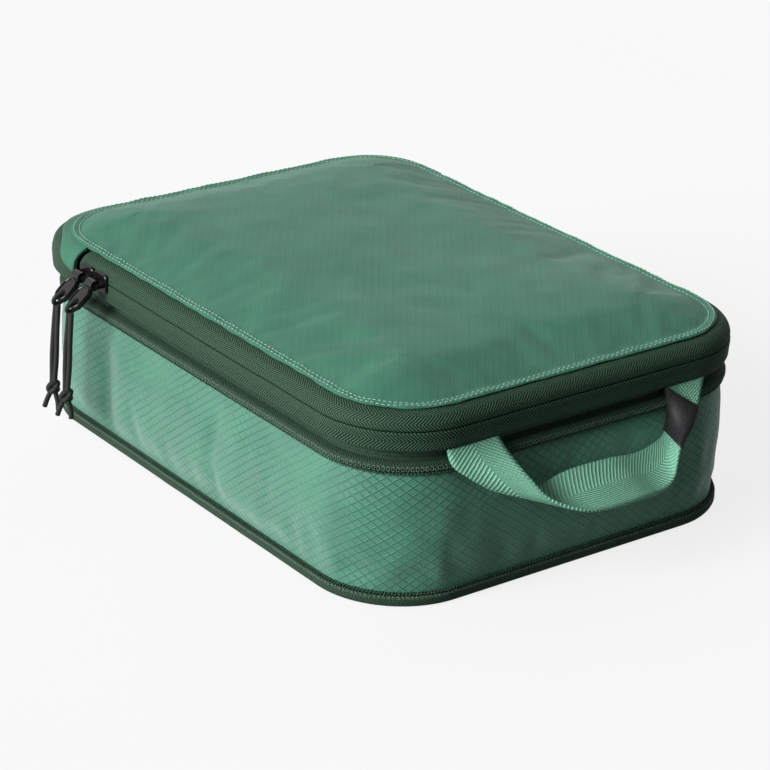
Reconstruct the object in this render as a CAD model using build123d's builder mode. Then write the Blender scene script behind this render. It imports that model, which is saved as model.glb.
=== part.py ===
"""Compression packing cube, expanded, lid closed.

Millimetres. +Z is up, X runs along the long side, and the origin is the middle of the underside.
The handle is on the +X end, the lid bends at its -X end, and the main zip's sliders are on the -Y side.
An "offset" is a distance outwards from the nominal side wall, LENGTH x WIDTH with CORNER radius.
"""

from build123d import *
import math
import os

os.makedirs("parts", exist_ok=True)

# Driving dimensions
LENGTH = 255.0
WIDTH = 190.0
CORNER = 36.0
CLOTH = 0.8
TAPE = 0.8
PANEL = 1.2

# Heights, from the underside up
SEAM_Z = PANEL
LOWER_TAPE_TOP = 6.6
COIL = 1.4
UPPER_COIL_BOTTOM = 56.4
GROOVE_Z = 65.5
SLIT_Z = 74.5
SLIT_GAP = 0.8
RIM_Z = 81.0
CROWN_Z = 88.2

# Offsets from the side wall
LOWER_TAPE_OUT = 2.1
UPPER_TAPE_OUT = 1.8
GROOVE_OUT = 1.6
SLIT_OUT = 3.0
RIM_OUT = -4.0
CROWN_OUT = -26.0
BINDING_OUT = -1.2

# The lid bends across the bag where the main zip ends
HINGE_X = -85.5
HINGE_GAP = 0.6

# Main zip sliders and their pulls
SLIDER_X = (-77.0, -66.3)
SLIDER_LENGTH = 10.4
SLIDER_HEIGHT = 8.4
PLATE_OUT = SLIT_OUT + 0.4
PLATE = 1.2
POST_LENGTH = 3.0
CROWN_BAR_OUT = 8.0
BAR_RADIUS = 0.6
BRIDGE_FOOT_X = 4.0
PULL_TILT = 50.0
PULL_WIDTH = 8.4
PULL_CORNER = 3.0
PULL_THICKNESS = 1.8
PULL_TOP = 2.6
PULL_END = 13.5
EYE_DEPTH = 10.0
KNUCKLE_RADIUS = 2.3
KNUCKLE_BORE = 0.95
KNUCKLE_WIDTH = 5.2

# Pull cords: two strands from the pull's end, through one knot, to two cut tails
CORD_DIAMETER = 2.2
KNOT_RADIUS = 4.0
KNOT_DROP = 39.0
KNOT_OUT = 2.4
CORD_START = 0.4

# Compression zip: its two ends meet in the middle of the -X side, where its slider is parked
ZIP_END_GAP = 28.0
BACK_SLIDER_Y = 22.0
BACK_PULL_TILT = 77.0

# Handle of folded webbing on the +X side
HANDLE_NEAR_Y = -64.0
HANDLE_FAR_Y = 68.0
WEBBING = 24.0
WEBBING_THICKNESS = 2.0
HANDLE_DROP = 42.0
HANDLE_BAR = 18.0
HANDLE_TILT = 35.0
HANDLE_OUT = 3.4


def save(builder, name):
    """Names the finished piece and writes it to its own file."""
    builder.part.label = name
    export_step(builder.part, f"parts/{name}.step")


def plan(height, offset):
    """Rounded outline of the wall at a height, moved outwards by an offset."""
    with BuildSketch(Plane.XY.offset(height)) as outline:
        RectangleRounded(LENGTH + 2 * offset, WIDTH + 2 * offset, CORNER + offset)
    return outline.sketch


def band(bottom, top, offset, thickness, top_offset=None):
    """Closed band round the bag in the open part; it may lean from one offset to another."""
    if top_offset is None:
        top_offset = offset
    loft([plan(bottom, offset), plan(top, top_offset)])
    loft([plan(bottom, offset - thickness), plan(top, top_offset - thickness)], mode=Mode.SUBTRACT)


def keep_front():
    """Keeps what is in front of the lid's bend."""
    split(bisect_by=Plane(origin=(HINGE_X + HINGE_GAP / 2, 0, 0), z_dir=(1, 0, 0)), keep=Keep.TOP)


def keep_back():
    """Keeps what is behind the lid's bend."""
    split(bisect_by=Plane(origin=(HINGE_X - HINGE_GAP / 2, 0, 0), z_dir=(-1, 0, 0)), keep=Keep.TOP)


def open_at_back(bottom, top):
    """Cuts the gap between the compression zip's two ends out of a band."""
    with Locations((-LENGTH / 2, 0, (bottom + top) / 2)):
        Box(20, ZIP_END_GAP, top - bottom + 1, mode=Mode.SUBTRACT)


# Bottom of the bag

with BuildPart() as bottom_panel:
    extrude(plan(0, LOWER_TAPE_OUT), amount=PANEL)
save(bottom_panel, "bottom_panel")

with BuildPart() as gusset:
    band(SEAM_Z, GROOVE_Z, 0, CLOTH)
save(gusset, "gusset")

with BuildPart() as base_binding:
    band(SEAM_Z, SEAM_Z + 3, BINDING_OUT, 1.0)
save(base_binding, "base_binding")

with BuildPart() as compression_tape_lower:
    band(SEAM_Z, LOWER_TAPE_TOP, LOWER_TAPE_OUT, TAPE)
    open_at_back(SEAM_Z, LOWER_TAPE_TOP)
save(compression_tape_lower, "compression_tape_lower")

with BuildPart() as compression_coil_lower:
    band(LOWER_TAPE_TOP, LOWER_TAPE_TOP + COIL, LOWER_TAPE_OUT + 0.3, COIL)
    open_at_back(LOWER_TAPE_TOP, LOWER_TAPE_TOP + COIL)
save(compression_coil_lower, "compression_coil_lower")

# Upper section: everything above the gusset that doesn't open with the lid

with BuildPart() as compression_tape_upper:
    band(UPPER_COIL_BOTTOM + COIL, GROOVE_Z, UPPER_TAPE_OUT, TAPE)
    open_at_back(UPPER_COIL_BOTTOM + COIL, GROOVE_Z - 3)
save(compression_tape_upper, "compression_tape_upper")

with BuildPart() as compression_coil_upper:
    band(UPPER_COIL_BOTTOM, UPPER_COIL_BOTTOM + COIL, UPPER_TAPE_OUT + 0.3, COIL)
    open_at_back(UPPER_COIL_BOTTOM, UPPER_COIL_BOTTOM + COIL)
save(compression_coil_upper, "compression_coil_upper")

with BuildPart() as upper_binding:
    band(GROOVE_Z - 2.5, GROOVE_Z + 3, BINDING_OUT, 1.2)
save(upper_binding, "upper_binding")

TAPE_TOP = SLIT_Z - SLIT_GAP / 2
TAPE_BOTTOM = SLIT_Z + SLIT_GAP / 2
COIL_CLEARANCE = 0.1
MAIN_COIL_DEPTH = 1.3

with BuildPart() as main_tape_lower:
    band(GROOVE_Z, TAPE_TOP, GROOVE_OUT, TAPE, top_offset=SLIT_OUT)
    keep_front()
save(main_tape_lower, "main_tape_lower")

with BuildPart() as main_coil_lower:
    band(TAPE_TOP - 1.7, TAPE_TOP - COIL_CLEARANCE, SLIT_OUT - TAPE - 0.35, MAIN_COIL_DEPTH)
    keep_front()
save(main_coil_lower, "main_coil_lower")

with BuildPart() as back_band:
    band(GROOVE_Z, RIM_Z, GROOVE_OUT, CLOTH, top_offset=RIM_OUT)
    keep_back()
save(back_band, "back_band")


def hem_ring():
    """Folded hem round the lid's edge."""
    band(RIM_Z, RIM_Z + 1.2, RIM_OUT + 0.4, 3.0)


def crown():
    """Top cloth, rising from the hem to a flat crown."""
    low, high, rise = RIM_Z + 0.2, CROWN_Z, 1.0
    loft([plan(low, RIM_OUT - 2.7), plan(high, CROWN_OUT)])
    loft([plan(low - rise, RIM_OUT - 2.7), plan(high - rise, CROWN_OUT)], mode=Mode.SUBTRACT)


with BuildPart() as lid_back_strip:
    crown()
    keep_back()
save(lid_back_strip, "lid_back_strip")

with BuildPart() as lid_back_hem:
    hem_ring()
    keep_back()
save(lid_back_hem, "lid_back_hem")

# Cloth tabs over the two ends of the main zip
END_TAB_LENGTH = 18.0
END_TAB_X = HINGE_X + 0.5 - END_TAB_LENGTH / 2
END_TAB_HEIGHT = 11.0
for name, side in (("zip_end_tab_near", -1), ("zip_end_tab_far", 1)):
    with BuildPart() as zip_end_tab:
        with Locations((END_TAB_X, side * (WIDTH / 2 + SLIT_OUT + 0.6), GROOVE_Z + 1.5 + END_TAB_HEIGHT / 2)):
            Box(END_TAB_LENGTH, 0.6, END_TAB_HEIGHT)
        fillet(zip_end_tab.edges().filter_by(Axis.Y), 2)
    save(zip_end_tab, name)

# Lid

with BuildPart() as lid_panel:
    crown()
    keep_front()
save(lid_panel, "lid_panel")

with BuildPart() as lid_hem:
    hem_ring()
    keep_front()
save(lid_hem, "lid_hem")

with BuildPart() as main_tape_upper:
    band(TAPE_BOTTOM, RIM_Z, SLIT_OUT, TAPE, top_offset=RIM_OUT)
    keep_front()
save(main_tape_upper, "main_tape_upper")

with BuildPart() as main_coil_upper:
    band(TAPE_BOTTOM + COIL_CLEARANCE, TAPE_BOTTOM + 1.5, SLIT_OUT - TAPE - 1.9, MAIN_COIL_DEPTH)
    keep_front()
save(main_coil_upper, "main_coil_upper")

with BuildPart() as lid_binding:
    band(RIM_Z - 2.4, RIM_Z - 0.1, RIM_OUT - 2.6, 1.2)
    keep_front()
save(lid_binding, "lid_binding")


# Sliders. A slider's own plane has its origin on the slit at the wall's nominal face, its x axis
# along the zip, its z axis outwards and its y axis up.


def outermost(plane):
    """The open part's face that is furthest along a plane's normal."""
    return faces().sort_by(Axis(plane.origin, plane.z_dir))[-1]


def slider(face, outer, inner, inner_plate, lift=0.0):
    """Outer plate, inner plate, the post between them, and the bridge that holds the pull."""
    with BuildSketch(face.offset(outer)) as outer_plate:
        with Locations((0, lift)):
            RectangleRounded(SLIDER_LENGTH, SLIDER_HEIGHT, 2.4)
    extrude(outer_plate.sketch, amount=PLATE)
    chamfer(outermost(face).edges(), 0.4)
    with BuildSketch(face.offset(inner)) as inner_outline:
        RectangleRounded(SLIDER_LENGTH - 1, 4.4, 1.2)
    extrude(inner_outline.sketch, amount=-inner_plate)
    with BuildSketch(face.offset(inner)) as post:
        Rectangle(POST_LENGTH, 0.5)
    extrude(post.sketch, amount=outer - inner)
    bridge(face, outer + PLATE, lift)


def bridge(face, foot, lift):
    """Arch over the outer plate, along the zip, with a round bar for the pull's knuckle."""
    reach = CROWN_BAR_OUT - PLATE_OUT - PLATE
    bar_end = BRIDGE_FOOT_X + BAR_RADIUS
    with BuildSketch(face.offset(foot - 0.1)) as feet:
        with Locations((-BRIDGE_FOOT_X, lift), (BRIDGE_FOOT_X, lift)):
            RectangleRounded(1.5, 2.0, 0.5)
    extrude(feet.sketch, amount=reach + 0.7)
    along = Plane(origin=face.from_local_coords((-bar_end, lift, foot + reach)), z_dir=face.x_dir)
    with BuildSketch(along) as bar:
        Circle(BAR_RADIUS)
    extrude(bar.sketch, amount=2 * bar_end)


def pull_plane(pivot, along, out, tilt):
    """Plane of a pull that hangs from its pivot: x along the bar, y up the pull, z out of its face."""
    lean = math.radians(tilt)
    up = Vector(0, 0, 1)
    return Plane(origin=pivot, x_dir=along, z_dir=out * math.cos(lean) + up * math.sin(lean))


def pull(plane):
    """Long rounded tab with a knuckle round the bridge's bar and an eye for the cord."""
    with BuildSketch(plane) as blade:
        with Locations((0, -(PULL_TOP + PULL_END) / 2)):
            RectangleRounded(PULL_WIDTH, PULL_END - PULL_TOP, PULL_CORNER)
        with Locations((0, -3.4)):
            Rectangle(KNUCKLE_WIDTH, 4.0)
        with Locations((0, -EYE_DEPTH)):
            Circle(1.5, mode=Mode.SUBTRACT)
    extrude(blade.sketch, amount=PULL_THICKNESS / 2, both=True)
    chamfer(outermost(plane).outer_wire().edges(), 0.4)
    side = Plane(origin=plane.from_local_coords((-KNUCKLE_WIDTH / 2, 0, 0)), z_dir=plane.x_dir)
    with BuildSketch(side) as knuckle:
        Circle(KNUCKLE_RADIUS)
    extrude(knuckle.sketch, amount=KNUCKLE_WIDTH)
    with BuildSketch(side) as bore:
        Circle(KNUCKLE_BORE)
    extrude(bore.sketch, amount=KNUCKLE_WIDTH, mode=Mode.SUBTRACT)


def cord_tube(points):
    """Round cord along straight runs joined by arcs as large as the two runs beside each allow."""
    corners = [Vector(*point) for point in points]
    radii = []
    for before, here, after in zip(corners, corners[1:], corners[2:]):
        turn = math.radians((here - before).get_angle(after - here))
        shorter = min((here - before).length, (after - here).length)
        radii.append(0.45 * shorter / math.tan(turn / 2))
    with BuildLine() as route:
        FilletPolyline(*corners, radius=radii)
    start = Plane(origin=corners[0], z_dir=corners[1] - corners[0])
    with BuildSketch(start) as section:
        Circle(CORD_DIAMETER / 2)
    sweep(section.sketch, path=route.wire())
    return route.wire().length, min(radii)


# Each strand's route from the pull's end: sideways, outwards, and down
STRANDS = {
    "left": (
        (-1.3, 0.0, -1.4),
        (-2.0, 0.9, -14.0),
        (-1.8, 1.9, -26.0),
        (-1.3, 2.2, -35.0),
        (-1.5, 2.6, -41.0),
        (-3.4, 3.8, -45.5),
        (-4.3, 4.4, -49.0),
    ),
    "right": (
        (1.3, 0.3, -1.4),
        (1.8, 1.5, -13.0),
        (1.9, 1.8, -25.0),
        (1.3, 2.6, -35.0),
        (1.5, 2.5, -41.0),
        (2.8, 1.8, -45.5),
        (3.3, 2.2, -48.5),
    ),
}

lean = math.radians(PULL_TILT)
bar_y = -(WIDTH / 2 + CROWN_BAR_OUT)
end_y = bar_y - (PULL_END + CORD_START) * math.sin(lean)
end_z = SLIT_Z - (PULL_END + CORD_START) * math.cos(lean)

for number, slider_x in enumerate(SLIDER_X, start=1):
    near_face = Plane(origin=(slider_x, -WIDTH / 2, SLIT_Z), x_dir=(1, 0, 0), z_dir=(0, -1, 0))
    with BuildPart() as main_slider:
        slider(near_face, outer=PLATE_OUT, inner=-1.3, inner_plate=1.2)
    save(main_slider, f"main_slider_{number}")
    with BuildPart() as pull_tab:
        pull(pull_plane((slider_x, bar_y, SLIT_Z), (1, 0, 0), Vector(0, -1, 0), PULL_TILT))
    save(pull_tab, f"pull_tab_{number}")
    for side, steps in STRANDS.items():
        route_points = [(slider_x + across, end_y - out, end_z + down) for across, out, down in steps]
        with BuildPart() as pull_cord:
            length, tightest = cord_tube(route_points)
        exact = math.pi * (CORD_DIAMETER / 2) ** 2 * length
        print(f"pull_cord_{number}_{side}: {length:.1f} long, tightest arc {tightest:.1f},")
        print(f"  volume {pull_cord.part.volume:.1f} of {exact:.1f}")
        save(pull_cord, f"pull_cord_{number}_{side}")
    with BuildPart() as pull_knot:
        with Locations((slider_x, end_y - KNOT_OUT, end_z - KNOT_DROP)):
            Sphere(KNOT_RADIUS)
    save(pull_knot, f"pull_knot_{number}")

# Compression zip's slider and pull, on the back
BACK_SLIT_Z = LOWER_TAPE_TOP + COIL + 0.6
BACK_LIFT = -2.4
BACK_PLATE_OUT = LOWER_TAPE_OUT + 0.7
back_face = Plane(origin=(-LENGTH / 2, BACK_SLIDER_Y, BACK_SLIT_Z), x_dir=(0, -1, 0), z_dir=(-1, 0, 0))
with BuildPart() as compression_slider:
    # The inner plate is thin, because the gusset is close behind it
    slider(back_face, outer=BACK_PLATE_OUT, inner=0.7, inner_plate=0.4, lift=BACK_LIFT)
save(compression_slider, "compression_slider")

back_bar_x = -(LENGTH / 2 + BACK_PLATE_OUT + CROWN_BAR_OUT - PLATE_OUT)
back_bar_z = BACK_SLIT_Z + BACK_LIFT
with BuildPart() as compression_pull:
    back_pivot = (back_bar_x, BACK_SLIDER_Y, back_bar_z)
    pull(pull_plane(back_pivot, (0, -1, 0), Vector(-1, 0, 0), BACK_PULL_TILT))
save(compression_pull, "compression_pull")

# Handle
handle_lean = math.radians(HANDLE_TILT)
handle_plane = Plane(
    origin=(LENGTH / 2 + HANDLE_OUT, 0, GROOVE_Z),
    x_dir=(0, 1, 0),
    z_dir=(math.cos(handle_lean), 0, math.sin(handle_lean)),
)
span = HANDLE_FAR_Y - HANDLE_NEAR_Y
middle_y = (HANDLE_FAR_Y + HANDLE_NEAR_Y) / 2
gap_depth = HANDLE_DROP - HANDLE_BAR

with BuildPart() as handle_webbing:
    with BuildSketch(handle_plane) as loop:
        with Locations((middle_y, -HANDLE_DROP / 2)):
            Rectangle(span, HANDLE_DROP)
        with Locations((middle_y, -gap_depth / 2)):
            Rectangle(span - 2 * WEBBING, gap_depth, mode=Mode.SUBTRACT)
        fillet(loop.vertices().group_by(Axis.Y)[1], 10)
        fillet(loop.vertices().group_by(Axis.Y)[0], 16)
    extrude(amount=WEBBING_THICKNESS / 2, both=True)
save(handle_webbing, "handle_webbing")

with BuildPart() as handle_label:
    with BuildSketch(handle_plane.offset(WEBBING_THICKNESS / 2)):
        with Locations((HANDLE_FAR_Y - WEBBING / 2, -16)):
            RectangleRounded(WEBBING - 4, 22, 1)
    extrude(amount=0.6)
save(handle_label, "handle_label")

# The sewn-in ends lean in towards the straight part of the wall
HANDLE_END_IN = 10.0
near_end_y = HANDLE_NEAR_Y + WEBBING / 2 + HANDLE_END_IN
far_end_y = HANDLE_FAR_Y - WEBBING / 2 - HANDLE_END_IN
with BuildPart() as handle_ends:
    with Locations(*[(LENGTH / 2 - 4, end_y, GROOVE_Z + 1) for end_y in (near_end_y, far_end_y)]):
        Box(1.4, WEBBING, 5)
save(handle_ends, "handle_ends")
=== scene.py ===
"""Packing cube, expanded, with its lid closed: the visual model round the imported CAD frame.

Lengths in the builders below are millimetres from part.py, and become metres when a mesh is made.
"""

import math

import bmesh
import bpy
from mathutils import Matrix, Vector, noise
from mathutils.bvhtree import BVHTree


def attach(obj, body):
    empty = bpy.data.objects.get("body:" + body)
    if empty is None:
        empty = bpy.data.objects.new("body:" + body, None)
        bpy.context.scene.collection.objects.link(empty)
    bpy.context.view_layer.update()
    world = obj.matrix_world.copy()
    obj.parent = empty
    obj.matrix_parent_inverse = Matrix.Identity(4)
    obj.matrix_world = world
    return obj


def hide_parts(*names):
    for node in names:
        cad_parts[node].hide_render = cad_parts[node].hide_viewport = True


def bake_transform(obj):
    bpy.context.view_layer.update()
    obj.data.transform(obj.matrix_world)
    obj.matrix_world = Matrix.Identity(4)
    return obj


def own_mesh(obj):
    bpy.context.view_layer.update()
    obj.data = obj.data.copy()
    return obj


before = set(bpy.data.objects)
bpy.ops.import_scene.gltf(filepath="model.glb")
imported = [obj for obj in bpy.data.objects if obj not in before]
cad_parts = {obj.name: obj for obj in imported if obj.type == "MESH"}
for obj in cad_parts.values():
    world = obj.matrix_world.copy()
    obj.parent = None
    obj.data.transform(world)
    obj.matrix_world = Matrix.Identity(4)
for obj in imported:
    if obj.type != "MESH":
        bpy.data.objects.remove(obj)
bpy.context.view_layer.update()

MM = 0.001

# The bag's own sizes, as in part.py
LENGTH, WIDTH, CORNER = 255.0, 190.0, 36.0
SEAM_Z, GROOVE_Z, SLIT_Z = 1.2, 65.5, 74.5
HINGE_X = -85.5
SLIDER_X = (-77.0, -66.3)
WEBBING = 24.0
CLOTH = 0.45

# Compression: the height where the gusset's edge is tucked behind the zip and goes with it
TUCK_Z = 57.6

# Columns round the wall: along half a short side, round a corner, and along a long side
HALF_SHORT, ROUND, LONG = 20, 19, 61


# ---------------------------------------------------------------- materials

def material(name):
    """New node material, its node tree's tools, and its shader."""
    mat = bpy.data.materials.new(name)
    mat.use_nodes = True
    tree = mat.node_tree
    shader = tree.nodes["Principled BSDF"]
    return mat, tree, shader


def node(tree, kind, **settings):
    made = tree.nodes.new(kind)
    for key, value in settings.items():
        setattr(made, key, value)
    return made


def calc(tree, operation, *values):
    """A Math node; each value is a number or another node's output."""
    made = node(tree, "ShaderNodeMath", operation=operation)
    for socket, value in zip(made.inputs, values):
        if isinstance(value, (int, float)):
            socket.default_value = value
        else:
            tree.links.new(value, socket)
    return made.outputs[0]


def blend_colour(tree, amount, low, high):
    """A Mix node between two colours."""
    made = node(tree, "ShaderNodeMix", data_type="RGBA")
    tree.links.new(amount, made.inputs["Factor"])
    for socket, value in (("A", low), ("B", high)):
        target = [s for s in made.inputs if s.name == socket and s.type == "RGBA"][0]
        if isinstance(value, tuple):
            target.default_value = (*value, 1)
        else:
            tree.links.new(value, target)
    return [s for s in made.outputs if s.type == "RGBA"][0]


def ramp(tree, value, low, high):
    """Maps low..high to 0..1, smoothly, and holds the ends."""
    made = node(tree, "ShaderNodeMapRange", interpolation_type="SMOOTHSTEP")
    tree.links.new(value, made.inputs["Value"])
    made.inputs["From Min"].default_value = low
    made.inputs["From Max"].default_value = high
    return made.outputs["Result"]


def noise_value(tree, vector, scale, detail=2.0):
    made = node(tree, "ShaderNodeTexNoise")
    made.inputs["Scale"].default_value = scale
    made.inputs["Detail"].default_value = detail
    if vector is not None:
        tree.links.new(vector, made.inputs["Vector"])
    return made.outputs["Fac"]


def cloth_axes(tree):
    """The piece's own cloth coordinates in metres: along, across, and the vector itself."""
    uv = node(tree, "ShaderNodeUVMap", uv_map="cloth")
    split = node(tree, "ShaderNodeSeparateXYZ")
    tree.links.new(uv.outputs["UV"], split.inputs[0])
    return split.outputs["X"], split.outputs["Y"], uv.outputs["UV"]


def object_axes(tree):
    where = node(tree, "ShaderNodeTexCoord")
    return where.outputs["Object"]


def bump(tree, shader, height, distance, strength=1.0):
    made = node(tree, "ShaderNodeBump")
    made.inputs["Distance"].default_value = distance
    made.inputs["Strength"].default_value = strength
    tree.links.new(height, made.inputs["Height"])
    tree.links.new(made.outputs["Normal"], shader.inputs["Normal"])


def stripes(tree, value, pitch):
    """0 on the lines that repeat each pitch, and 1 half way between them."""
    return calc(tree, "MULTIPLY", calc(tree, "PINGPONG", value, pitch / 2), 2 / pitch)


def turned(tree, along, across, angle):
    """Distance measured square to lines at an angle to the cloth's length."""
    first = calc(tree, "MULTIPLY", along, -math.sin(angle))
    second = calc(tree, "MULTIPLY", across, math.cos(angle))
    return calc(tree, "ADD", first, second)


# Width of one yarn of the ripstop, in metres
YARN = 0.0004


def ripstop(name, colour, line_colour, pitch=0.0030, angle=37.0, contrast=1.0, rough=0.5, sheen=0.2,
            thread=0.9, shine=0.4):
    """Thin nylon with a grid of heavier threads at a slant both ways."""
    mat, tree, shader = material(name)
    along, across, uv = cloth_axes(tree)
    lines = []
    for sign in (1, -1):
        lean = math.radians(angle) * sign
        wander = calc(tree, "MULTIPLY", calc(tree, "SUBTRACT", noise_value(tree, uv, 30), 0.5), 0.0006)
        place = calc(tree, "ADD", turned(tree, along, across, lean), wander)
        lines.append(calc(tree, "SUBTRACT", 1.0, ramp(tree, stripes(tree, place, pitch), 0.06, 0.30)))
    grid = calc(tree, "MAXIMUM", *lines)
    fade = ramp(tree, noise_value(tree, uv, 26, 1), 0.36, 0.62)
    shown = calc(tree, "MULTIPLY", grid, calc(tree, "MULTIPLY_ADD", fade, 0.70 * contrast, 0.25 * contrast))
    cloudy = noise_value(tree, uv, 60, 4)
    mottled = blend_colour(tree, ramp(tree, cloudy, 0.25, 0.75), tuple(0.9 * c for c in colour),
                           tuple(min(1, 1.1 * c) for c in colour))
    tree.links.new(blend_colour(tree, shown, mottled, line_colour), shader.inputs["Base Color"])
    turns = 2 * math.pi / YARN
    fine = [calc(tree, "SINE", calc(tree, "MULTIPLY", value, turns)) for value in (along, across)]
    weave = calc(tree, "MULTIPLY", *fine)
    height = calc(tree, "MULTIPLY_ADD", weave, 0.12, calc(tree, "MULTIPLY", grid, thread))
    creases = noise_value(tree, uv, 150, 3)
    bump(tree, shader, calc(tree, "ADD", height, calc(tree, "MULTIPLY", creases, 0.9)), 0.00016)
    rough_value = calc(tree, "MULTIPLY_ADD", creases, 0.14, rough - 0.07)
    tree.links.new(rough_value, shader.inputs["Roughness"])
    shader.inputs["Sheen Weight"].default_value = sheen
    shader.inputs["Sheen Roughness"].default_value = 0.45
    shader.inputs["Sheen Tint"].default_value = (0.75, 1.0, 0.88, 1)
    shader.inputs["Specular IOR Level"].default_value = shine
    return mat


def herringbone(name, dark, light, pitch, rows, slope=1.0, rough=0.62, depth=0.00022):
    """Twill whose diagonals turn back at each row, as on zip tape and webbing."""
    mat, tree, shader = material(name)
    along, across, uv = cloth_axes(tree)
    folded = calc(tree, "PINGPONG", across, rows)
    diagonal = calc(tree, "MULTIPLY_ADD", folded, slope, along)
    wander = calc(tree, "MULTIPLY", calc(tree, "SUBTRACT", noise_value(tree, uv, 350), 0.5), pitch * 0.35)
    rib = ramp(tree, stripes(tree, calc(tree, "ADD", diagonal, wander), pitch), 0.30, 0.85)
    yarn = stripes(tree, across, pitch * 0.62)
    broken = calc(tree, "MULTIPLY", rib, calc(tree, "MULTIPLY_ADD", yarn, 0.45, 0.55))
    lift = calc(tree, "MULTIPLY_ADD", noise_value(tree, uv, 900, 2), 0.5, 0.75)
    shown = calc(tree, "MULTIPLY", broken, lift)
    tree.links.new(blend_colour(tree, shown, dark, light), shader.inputs["Base Color"])
    bump(tree, shader, broken, depth)
    shader.inputs["Roughness"].default_value = rough
    shader.inputs["Specular IOR Level"].default_value = 0.16
    return mat


def thread(name, colour, other, scale=900.0, rough=0.55, distance=0.00012):
    """Yarn, coil or binding: fine streaks and uneven colour."""
    mat, tree, shader = material(name)
    where = object_axes(tree)
    value = noise_value(tree, where, scale, 3)
    mixed = blend_colour(tree, ramp(tree, value, 0.3, 0.7), colour, other)
    tree.links.new(mixed, shader.inputs["Base Color"])
    bump(tree, shader, value, distance)
    shader.inputs["Roughness"].default_value = rough
    return mat


def braid(name, colour, other, pitch=0.0011):
    """Round braided cord: bundles that cross both ways round the cord."""
    mat, tree, shader = material(name)
    where = node(tree, "ShaderNodeTexCoord")
    split = node(tree, "ShaderNodeSeparateXYZ")
    tree.links.new(where.outputs["Object"], split.inputs[0])
    x, y, z = (split.outputs[axis] for axis in "XYZ")
    side = calc(tree, "ADD", x, calc(tree, "MULTIPLY", y, 0.8))
    first = stripes(tree, calc(tree, "ADD", z, side), pitch)
    second = stripes(tree, calc(tree, "SUBTRACT", z, side), pitch)
    value = calc(tree, "MULTIPLY", first, second)
    fuzz = noise_value(tree, where.outputs["Object"], 2500, 2)
    tree.links.new(blend_colour(tree, calc(tree, "MULTIPLY", value, fuzz), colour, other),
                   shader.inputs["Base Color"])
    bump(tree, shader, value, 0.0002)
    shader.inputs["Roughness"].default_value = 0.62
    shader.inputs["Sheen Weight"].default_value = 0.05
    return mat


def gloss(name, colour, rough, metallic=0.0):
    """Moulded or painted hardware with faint unevenness and slightly varied gloss."""
    mat, tree, shader = material(name)
    where = object_axes(tree)
    value = noise_value(tree, where, 420, 3)
    lighter = tuple(min(1, c * 1.8 + 0.004) for c in colour)
    mixed = blend_colour(tree, ramp(tree, value, 0.45, 0.8), colour, lighter)
    tree.links.new(mixed, shader.inputs["Base Color"])
    tree.links.new(calc(tree, "MULTIPLY_ADD", value, 0.16, rough - 0.08), shader.inputs["Roughness"])
    bump(tree, shader, noise_value(tree, where, 1500, 2), 0.00003)
    shader.inputs["Metallic"].default_value = metallic
    return mat


CLOTH_GREEN = (0.052, 0.198, 0.128)
CLOTH_LINE = (0.018, 0.105, 0.062)
TAPE_DARK = (0.003, 0.017, 0.008)
TAPE_LIGHT = (0.074, 0.150, 0.092)

mats = {
    # The lid takes the gusset's ripstop in a darker tone: that darker tone on the top is painted shade, not a
    # different cloth.
    "lid": ripstop("lid_ripstop_painted_shade", (0.044, 0.156, 0.100), (0.026, 0.108, 0.068),
                   contrast=0.18, thread=0.25, rough=0.6, sheen=0.15, shine=0.12),
    "gusset": ripstop("gusset_ripstop", CLOTH_GREEN, CLOTH_LINE, contrast=0.85, rough=0.46, sheen=0.75),
    "lining": ripstop("lining_nylon", (0.055, 0.17, 0.11), (0.03, 0.11, 0.07), contrast=0.5, rough=0.55),
    "tape": herringbone("zip_tape", TAPE_DARK, TAPE_LIGHT, 0.00135, 0.0034),
    "tape_fine": herringbone("zip_tape_fine", TAPE_DARK, (0.070, 0.125, 0.082), 0.0011, 0.0012),
    "binding": thread("seam_binding", (0.010, 0.035, 0.021), (0.03, 0.07, 0.045)),
    "coil": thread("nylon_coil", (0.012, 0.045, 0.027), (0.04, 0.09, 0.06), rough=0.38),
    "stitch": thread("tape_stitch", (0.045, 0.10, 0.062), (0.13, 0.21, 0.15), scale=2200),
    "hem_stitch": thread("hem_stitch", (0.16, 0.38, 0.28), (0.24, 0.48, 0.37), scale=2200),
    "webbing": herringbone("webbing_twill", (0.13, 0.35, 0.235), (0.34, 0.68, 0.50), 0.0017, 0.012,
                           slope=0.75, depth=0.0004),
    "label": thread("label_satin", (0.004, 0.004, 0.005), (0.014, 0.014, 0.016), rough=0.62),
    "slider_metal": gloss("painted_metal", (0.012, 0.012, 0.013), 0.24, metallic=0.6),
    "pull_plastic": gloss("pull_gloss", (0.006, 0.006, 0.007), 0.17),
    "cord": braid("braided_cord", (0.004, 0.004, 0.005), (0.016, 0.016, 0.018)),
}


def dress(obj, mat):
    obj.data.materials.clear()
    obj.data.materials.append(mats[mat])


# ---------------------------------------------------------------- meshes

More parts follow.
